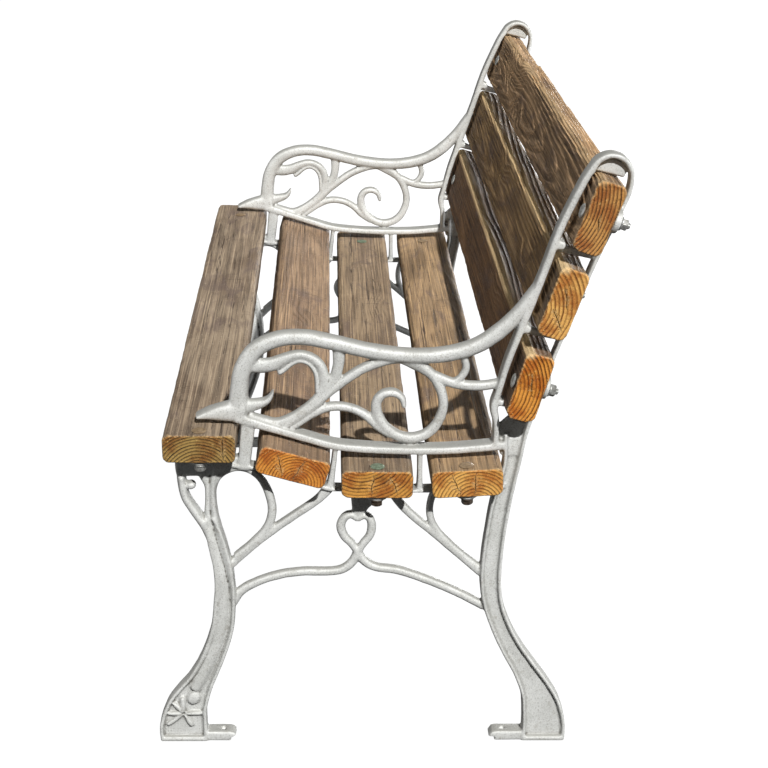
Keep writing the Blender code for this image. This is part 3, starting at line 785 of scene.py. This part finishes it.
def growth_field(x, y, z, seed, slope, knots):
    """How far knots, drift and wander push the rings, in mm, at places in mm."""
    offset = Vector((seed * 3.3, seed * 1.7, seed * 4.9))
    zero = np.zeros_like(x)
    drift_y = -slope[0] * x + 9.0 * noise_at(x * 0.0022, zero, zero, offset)
    drift_z = -slope[1] * x + 8.0 * noise_at(x * 0.0030, zero + 7.0, zero, offset)
    drift_z = drift_z + 1.8 * noise_at(x * 0.010, y * 0.035, z * 0.035, offset)
    bulge = zero.copy()
    for kx, ky, kr in knots:
        far = np.hypot((x - kx) * 0.38, y - ky)
        bulge += kr * 1.2 * (1.0 - smoothstep(far, 0.0, kr * 3.2))
    return bulge, drift_y, drift_z


def late_wood(y, z, field, pith, ring):
    """1 on the hard dark line that ends each year's growth, 0 in the soft wood."""
    bulge, drift_y, drift_z = field
    years = (np.hypot(y - pith[0] + drift_y, z - pith[1] + drift_z) + bulge) / ring
    part = years - np.floor(years)
    return smoothstep(part, 0.22, 0.84) * (1.0 - smoothstep(part, 0.90, 1.0))


def slat_outline(radius, pitch):
    """Rounded section as points with outward normals."""
    half_w, half_t = SLAT_WIDTH / 2, SLAT_THICKNESS / 2
    corner_steps = max(4, int(radius * math.pi / 2 / pitch))
    points, normals = [], []
    for corner, (u, v) in enumerate(((1, 1), (-1, 1), (-1, -1), (1, -1))):
        for step in range(corner_steps + 1):
            angle = math.radians(90.0 * corner + 90.0 * step / corner_steps)
            points.append((u * (half_w - radius) + radius * math.cos(angle),
                           v * (half_t - radius) + radius * math.sin(angle)))
            normals.append((math.cos(angle), math.sin(angle)))
    full, out = [], []
    count = len(points)
    for i in range(count):
        a, b = points[i], points[(i + 1) % count]
        length = math.hypot(b[0] - a[0], b[1] - a[1])
        parts = max(1, round(length / pitch)) if length > radius else 1
        for k in range(parts):
            full.append((a[0] + (b[0] - a[0]) * k / parts, a[1] + (b[1] - a[1]) * k / parts))
            out.append(normals[i])
    return np.array(full), np.array(out)


def slat_mesh(name, seed, pith, ring, bolts_at, slope, relief, knots, cracks, chip=None, quick=False):
    """Worn board: eroded grain, chipped arrises, checks in its ends, bolt holes."""
    half_w, half_t, half_l = SLAT_WIDTH / 2, SLAT_THICKNESS / 2, SLAT_LENGTH / 2
    radius = 9.5 if name.startswith("board_back") else 7.5
    outline, normals = slat_outline(radius, 3.4 if quick else 1.8)
    n = len(outline)
    inner = np.linspace(-half_l + 6, half_l - 6, 60 if quick else 300)
    lips = [(0.0, 2.4), (0.5, 1.1), (1.5, 0.3), (3.2, 0.0)]
    stations = [(-half_l + d, s) for d, s in lips] + [(v, 0.0) for v in inner]
    stations += [(half_l - d, s) for d, s in lips[::-1]]
    rows = len(stations)
    x = np.repeat([p[0] for p in stations], n)
    shrink = np.repeat([p[1] for p in stations], n)
    u, v = np.tile(outline[:, 0], rows), np.tile(outline[:, 1], rows)
    nu, nv = np.tile(normals[:, 0], rows), np.tile(normals[:, 1], rows)
    offset = Vector((seed * 7.3, seed * 3.1, seed * 5.7))
    broad = noise_at(x * 0.010, u * 0.045, v * 0.045, offset)
    rough = noise_at(x * 0.045, u * 0.16, v * 0.16, offset * 1.7)
    field = growth_field(x, u, v, seed, slope, knots)
    soft = 1.0 - late_wood(u, v, field, pith, ring)
    corner = (np.clip((np.abs(u) - half_w + 9.0) / 9.0, 0, 1)
              * np.clip((np.abs(v) - half_t + 9.0) / 9.0, 0, 1))
    chipped = 0.5 + 2.6 * np.clip(rough + broad * 0.8, 0.0, 1.0)
    pull = 0.30 + 0.35 * broad + 0.18 * rough + corner * chipped
    inset = 0.25 + 0.75 * smoothstep(half_l - np.abs(x), 1.0, 14.0)
    pull += relief * soft * inset * (0.45 + 0.75 * np.clip(0.5 + 1.4 * broad, 0.0, 1.0))
    if chip:
        start, depth = chip
        fade = 1.0 - 0.75 * smoothstep(x, start - 20.0, start - 260.0)
        gone = smoothstep(x, start, start - 9.0) * fade
        pull += depth * gone * smoothstep(u, half_w - 9.0, half_w - 2.0) * (1.0 + 0.35 * rough)
    pull = np.maximum(pull, 0.05)
    centre_w, centre_t = 1 - shrink / half_w, 1 - shrink / half_t
    verts = [np.stack([x, u * centre_w - nu * pull, v * centre_t - nv * pull], axis=1)]
    loops = [range(r * n, (r + 1) * n) for r in range(rows)]
    faces = [quad for a, b in zip(loops, loops[1:]) for quad in band(a, b)]
    total = rows * n
    for row, flip in ((0, True), (rows - 1, False)):
        end_x = stations[row][0]
        loop = loops[row]
        rim = verts[0][row * n:(row + 1) * n, 1:]
        for scale in (0.97, 0.93, 0.86, 0.76, 0.63, 0.48, 0.30, 0.12):
            flat = rim * scale
            dish = noise_at(flat[:, 0] * 0.10, flat[:, 1] * 0.10, flat[:, 0] * 0 + end_x, offset)
            depth = 0.15 + 0.35 * np.clip(dish + 0.4, 0, 1)
            sunk_x = end_x - math.copysign(1.0, end_x) * depth
            verts.append(np.stack([sunk_x, flat[:, 0], flat[:, 1]], axis=1))
            fresh = range(total, total + n)
            total += n
            faces += [quad[::-1] if flip else quad for quad in band(loop, fresh)]
            loop = fresh
        faces.append(tuple(loop) if not flip else tuple(loop[::-1]))
    verts = np.concatenate(verts)
    mesh = mesh_of(name, verts * MM, faces)
    growth = mesh.attributes.new("growth", "FLOAT_VECTOR", "POINT")
    field = np.stack(growth_field(*verts.T, seed, slope, knots), axis=1)
    growth.data.foreach_set("vector", (field * MM).ravel())
    face_outward(mesh)
    board = link(mesh, "raw_" + name)
    cutter = Bulk()
    for bx in bolts_at:
        cutter.rings([[(bx + a, b, out) for a, b in circle(SLAT_HOLE, HOLE_SIDES)]
                      for out in (-half_t - 4, half_t + 4)])
    for k, (across, lean) in enumerate(cracks):
        for side in (-1, 1):
            cutter.rings(crack_rings(side, across, lean, half_l, seed + k))
    helper = link(cutter.mesh("cut_board"), "cut_board")
    subtract(board, helper)
    mesh = evaluated(board, name)
    bpy.data.objects.remove(helper, do_unlink=True)
    assert len(mesh.polygons) > len(faces), name
    drop_slivers(mesh)
    return mesh


def crack_rings(side, u, lean, half_l, seed):
    """Thin crooked wedge cut into a board's end: a drying check."""
    angle = math.radians(lean)
    run = (math.sin(angle), math.cos(angle))
    across = (math.cos(angle), -math.sin(angle))
    count = 6
    rings = []
    for depth, wide in ((-3.0, 0.55), (0.0, 0.5), (10.0, 0.35), (24.0, 0.08)):
        left, right = [], []
        for k in range(count + 1):
            t = k / count
            reach = -15.0 + 30.0 * t
            taper = math.sin(math.pi * (0.06 + 0.88 * t))
            sway = noise.noise(Vector((t * 3.0, seed * 2.3, side))) * 2.2
            y = u + run[0] * reach + across[0] * sway
            z = run[1] * reach + across[1] * sway
            half = wide * taper
            left.append((side * (half_l - depth), y - across[0] * half, z - across[1] * half))
            right.append((side * (half_l - depth), y + across[0] * half, z + across[1] * half))
        rings.append(left + right[::-1])
    return rings


# ---- fasteners

def turned(profile, sides=32):
    """Surface of revolution about local Z: (radius, height) from one pole to the other."""
    verts, faces = [], []
    rings = []
    for r, h in profile:
        if r == 0.0:
            rings.append([len(verts)])
            verts.append((0.0, 0.0, h))
        else:
            rings.append(list(range(len(verts), len(verts) + sides)))
            verts += [(x, y, h) for x, y in circle(r, sides)]
    for a, b in zip(rings, rings[1:]):
        for i in range(sides):
            j = (i + 1) % sides
            if len(a) == 1:
                faces.append((a[0], b[j], b[i]))
            elif len(b) == 1:
                faces.append((a[i], a[j], b[0]))
            else:
                faces.append((a[i], a[j], b[j], b[i]))
    return verts, faces


def finish_mesh(name, verts, faces, sharp=40.0):
    mesh = mesh_of(name, np.array(verts) * MM, faces)
    face_outward(mesh)
    mesh.shade_smooth()
    mesh.set_sharp_from_angle(angle=math.radians(sharp))
    return mesh


def bolt_mesh(ear, proud):
    """Carriage bolt: low dome standing proud of the timber, threaded tip."""
    top = SLAT_THICKNESS / 2 + GAP
    nut_end = -SLAT_THICKNESS / 2 - GAP - ear - GAP - WASHER_THICKNESS - GAP - NUT_THICKNESS
    tip = nut_end - (4.0 if proud > 2.0 else 1.5)
    profile = [(0.0, tip), (2.6, tip), (3.2, tip + 0.3)]
    z = tip + 0.8
    while z < nut_end + NUT_THICKNESS + 3.0:
        profile += [(3.35, z), (3.95, z + 0.55)]
        z += 1.1
    profile += [(3.9, z), (3.9, top), (8.2, top)]
    for r, h in ((8.9, 0.11), (9.0, 0.25), (8.4, 0.47), (7.0, 0.69), (5.0, 0.86), (2.6, 0.97),
                 (0.0, 1.0)):
        profile.append((r, top + h * proud))
    verts, faces = turned(profile)
    return finish_mesh("bolt_shape", verts, faces)


def ring_mesh(name, outline_rings, bore, heights):
    """Collar: outline rings outside, a bore inside; heights match the rings."""
    sides = len(outline_rings[0])
    verts, faces = [], []
    loops = []
    for ring, h in zip(outline_rings, heights):
        loops.append(list(range(len(verts), len(verts) + sides)))
        verts += [(x, y, h) for x, y in ring]
    angles = [math.atan2(y, x) for x, y in outline_rings[0]]
    for h, r in ((heights[-1], bore + 0.4), (heights[-1] - 0.4, bore), (heights[0] + 0.4, bore),
                 (heights[0], bore + 0.4)):
        loops.append(list(range(len(verts), len(verts) + sides)))
        verts += [(r * math.cos(a), r * math.sin(a), h) for a in angles]
    for a, b in zip(loops, loops[1:] + loops[:1]):
        faces += band(a, b)
    return finish_mesh(name, verts, faces, 30.0)


def nut_mesh():
    def outline(limit):
        """Hexagon whose corners are cut at a circle of radius limit."""
        ring = []
        for i in range(48):
            a = 2 * math.pi * i / 48
            near = (a + math.pi / 6) % (math.pi / 3) - math.pi / 6
            reach = min(NUT_FLAT / math.cos(near), limit)
            ring.append((reach * math.cos(a), reach * math.sin(a)))
        return ring
    rings = [outline(limit) for limit in (NUT_FLAT, 7.1, 7.5, 7.5, 7.1, NUT_FLAT)]
    heights = [0.0, 0.35, 0.9, NUT_THICKNESS - 0.9, NUT_THICKNESS - 0.35, NUT_THICKNESS]
    return ring_mesh("nut_shape", rings, 4.15, heights)


def washer_mesh():
    heights = [0.0, 0.3, WASHER_THICKNESS - 0.3, WASHER_THICKNESS]
    rims = [circle(radius, 40) for radius in (8.2, 8.5, 8.5, 8.2)]
    return ring_mesh("washer_shape", rims, 4.5, heights)


# ---- stage

# The camera's place in metres, its tilts in degrees and its lens in mm.
CAMERA_PLACE = (2.0997, -0.0717, 1.2310)
CAMERA_DOWN = 23.19
CAMERA_YAW = -2.622
CAMERA_ROLL = 1.4956
LENS = 67.95
KEY_FROM = (0.90, 0.25, 1.0)
FLOOR_HALF = 12.0


def add_camera():
    down, yaw, roll = (math.radians(a) for a in (CAMERA_DOWN, CAMERA_YAW, CAMERA_ROLL))
    ahead = Vector((-math.cos(yaw) * math.cos(down), -math.sin(yaw) * math.cos(down),
                    -math.sin(down)))
    level = Vector((-math.sin(yaw), math.cos(yaw), 0.0))
    rise = level.cross(ahead)
    right = math.cos(roll) * level + math.sin(roll) * rise
    up = -math.sin(roll) * level + math.cos(roll) * rise
    turn = Matrix((right, up, -ahead)).transposed().to_4x4()
    data = bpy.data.cameras.new("camera")
    data.sensor_width = 36.0
    data.lens = LENS
    data.clip_end = 50.0
    camera = bpy.data.objects.new("camera", data)
    camera.matrix_world = Matrix.Translation(Vector(CAMERA_PLACE)) @ turn
    bpy.context.scene.collection.objects.link(camera)
    bpy.context.scene.camera = camera


def area_light(name, place, target, size, power, colour=(1, 1, 1)):
    data = bpy.data.lights.new(name, "AREA")
    data.shape = "DISK"
    data.size = size
    data.energy = power
    data.color = colour
    lamp = bpy.data.objects.new(name, data)
    aim = Vector(target) - Vector(place)
    turn = aim.to_track_quat("-Z", "Y").to_matrix().to_4x4()
    lamp.matrix_world = Matrix.Translation(Vector(place)) @ turn
    bpy.context.scene.collection.objects.link(lamp)


def add_stage():
    """Pale floor and backdrop, a soft key and soft fills from the other three sides."""
    corners = [(FLOOR_HALF * x, FLOOR_HALF * y, 0) for x, y in ((-1, -1), (1, -1), (1, 1), (-1, 1))]
    floor = link(mesh_of("floor", corners, [(0, 1, 2, 3)]), "floor", smooth=False)
    floor.location.z = -0.0006
    shell = bmesh.new()
    bmesh.ops.create_uvsphere(shell, u_segments=48, v_segments=24, radius=FLOOR_HALF * 0.95)
    dome = bpy.data.meshes.new("backdrop")
    shell.to_mesh(dome)
    shell.free()
    backdrop = link(dome, "backdrop")
    backdrop.visible_shadow = False
    g = Graph("pale_stage")
    g.surface("Base Color", (0.05, 0.05, 0.05, 1.0))
    g.surface("Roughness", 0.9)
    g.surface("Specular IOR Level", 0.1)
    g.surface("Emission Color", (1.0, 1.0, 1.0, 1.0))
    g.surface("Emission Strength", 1.0)
    for piece in (floor, backdrop):
        piece.data.materials.append(g.material)
        piece.visible_diffuse = False
        piece.visible_glossy = False
    world = bpy.data.worlds.new("studio")
    world.use_nodes = True
    background = world.node_tree.nodes["Background"]
    background.inputs["Color"].default_value = (1.0, 1.0, 1.0, 1.0)
    background.inputs["Strength"].default_value = 0.055
    bpy.context.scene.world = world
    bpy.context.scene.view_settings.view_transform = "Standard"
    key = bpy.data.lights.new("key", "SUN")
    key.energy = 4.2
    key.angle = math.radians(1.8)
    key.color = (1.0, 0.985, 0.955)
    lamp = bpy.data.objects.new("key", key)
    lamp.rotation_euler = Vector(KEY_FROM).to_track_quat("Z", "Y").to_euler()
    bpy.context.scene.collection.objects.link(lamp)
    area_light("fill", (-0.2, -2.6, 0.75), (0.0, 0.1, 0.6), 2.0, 15, (1.0, 0.98, 0.95))
    area_light("rear_fill", (0.2, 3.1, 0.48), (0.0, 0.2, 0.5), 0.9, 36)
    area_light("far_fill", (-2.9, 1.3, 0.55), (-0.4, 0.1, 0.45), 1.0, 60)


# ---- build

def place_piece(obj, *nodes):
    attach(obj, "root")
    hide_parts(*nodes)


def build():
    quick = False
    aluminium = casting_material()
    casting = casting_mesh(quick)
    for side, face_x in FACE_X.items():
        shape = casting if side == "right" else casting.copy()
        piece = link(shape, f"casting_{side}", aluminium)
        piece.location = (face_x * MM, SIDE_SHIFT * MM, 0.0)
        place_piece(piece, f"end_frame_{side}")

    zinc = steel_material("dull_zinc", (206, 208, 206), (150, 150, 146), 0.6)
    green = steel_material("verdigris_steel", (140, 156, 134), (98, 112, 92), 0.3)
    brown = steel_material("tarnished_steel", (158, 136, 108), (126, 106, 82), 0.1)
    # Dark steel for the washers and nuts under seat slats 2 to 4: painted shade for the shadow that
    # the slats' overhanging ends cast on them.
    shaded_nut_metal = steel_material("shaded_nut_steel", (92, 80, 68), (58, 48, 40), 0.2)
    nut_shape, washer_shape = nut_mesh(), washer_mesh()
    for number, (name, y, z, lean, ear) in enumerate(SLATS):
        pith, ring, look, worn = BOARDS[name]
        seed = number * 3.7 + 1.0
        wood = wood_material("wood_" + name, seed, pith, ring, **look)
        bolt_xs = {side: face_x + on_side(name, BOLT_OFFSET) for side, face_x in FACE_X.items()}
        mesh = slat_mesh("board_" + name, seed, pith, ring, bolt_xs.values(), quick=quick, **worn)
        wear(mesh, wood)
        mesh.shade_smooth()
        mesh.set_sharp_from_angle(angle=math.radians(60.0))
        board = link(mesh, "board_" + name, smooth=False)
        board.matrix_world = slat_matrix(y, z, lean)
        place_piece(board, name)
        base = name.replace("_slat", "")
        seat_board = name.startswith("seat")
        head = {"seat_slat_3": green}.get(name, brown if seat_board else zinc)
        bolt_shape = bolt_mesh(ear, 1.3 if seat_board else 3.2)
        # Painted shade: the washers and nuts under seat slats 2 to 4 get the dark steel.
        under = shaded_nut_metal if seat_board and name != "seat_slat_1_front" else zinc
        for side, bx in bolt_xs.items():
            seat = -SLAT_THICKNESS / 2 - GAP - ear - GAP
            for kind, shape, out, metal in (
                    ("bolt", bolt_shape, 0.0, head),
                    ("washer", washer_shape, seat - WASHER_THICKNESS, under),
                    ("nut", nut_shape, seat - WASHER_THICKNESS - GAP - NUT_THICKNESS, under)):
                mesh = shape.copy()
                wear(mesh, metal)
                piece = link(mesh, f"{kind}_{base}_{side}_detail", smooth=False)
                piece.matrix_world = slat_matrix(y, z, lean, bx, out) @ Matrix.Rotation(
                    math.radians(17.0 * number + (35.0 if side == "left" else 0.0)), 4, "Z")
                place_piece(piece, f"{kind}_{base}_{side}")
    add_stage()
    add_camera()


build()
